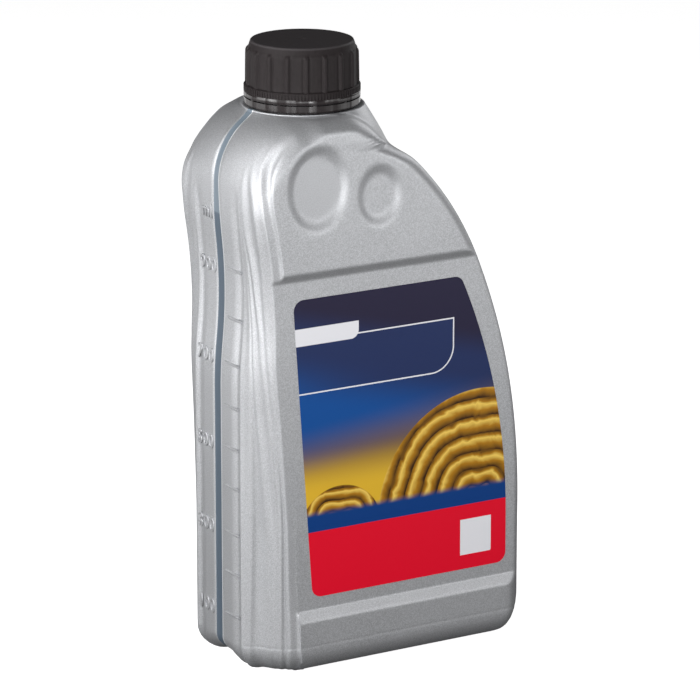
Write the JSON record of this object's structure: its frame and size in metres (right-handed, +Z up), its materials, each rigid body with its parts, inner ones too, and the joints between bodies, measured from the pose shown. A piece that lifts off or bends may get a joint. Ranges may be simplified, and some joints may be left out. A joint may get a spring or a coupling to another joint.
{
  "type": "motor oil bottle",
  "caption": "Flat blow-moulded engine oil bottle with a side neck, fluted left corners, sunk label panel, view stripe and a screw cap over a tamper ring.",
  "frame": {"origin": "centre of the overall box, on the surface the bottle stands on", "axes": "+Z up through the neck, -Y out of the label side, -X out of the side with the view stripe and the level marks"},
  "size_m": [0.1144, 0.0624, 0.23],
  "materials": {
    "shell": "silver satin polyethylene with fine metallic speckle and a translucent grey-blue view stripe",
    "cap": "near-black satin polypropylene",
    "liner": "off-white foamed polyethylene",
    "label": "printed film, semi-gloss",
    "oil": "clear amber engine oil"
  },
  "bodies": {
    "bottle": {"bottle": "shell", "tamper_ring": "cap", "front_label": "label", "engine_oil": "oil"},
    "liner": {"cap_liner": "liner"},
    "cap": {"screw_cap": "cap"}
  },
  "joints": [
    {"name": "cap_lift", "type": "slide", "parent": "bottle", "child": "liner", "axis": [0, 0, 1], "range_m": [0, 0.0201]},
    {"name": "cap_turn", "type": "hinge", "parent": "liner", "child": "cap", "pos_m": [-0.0211, 0, 0.22], "axis": [0, 0, 1], "range_deg": [0, 1800]}
  ],
  "couplings": [
    {"joint": "cap_lift", "follows": "cap_turn", "m_per_rad": 0.00063662}
  ]
}
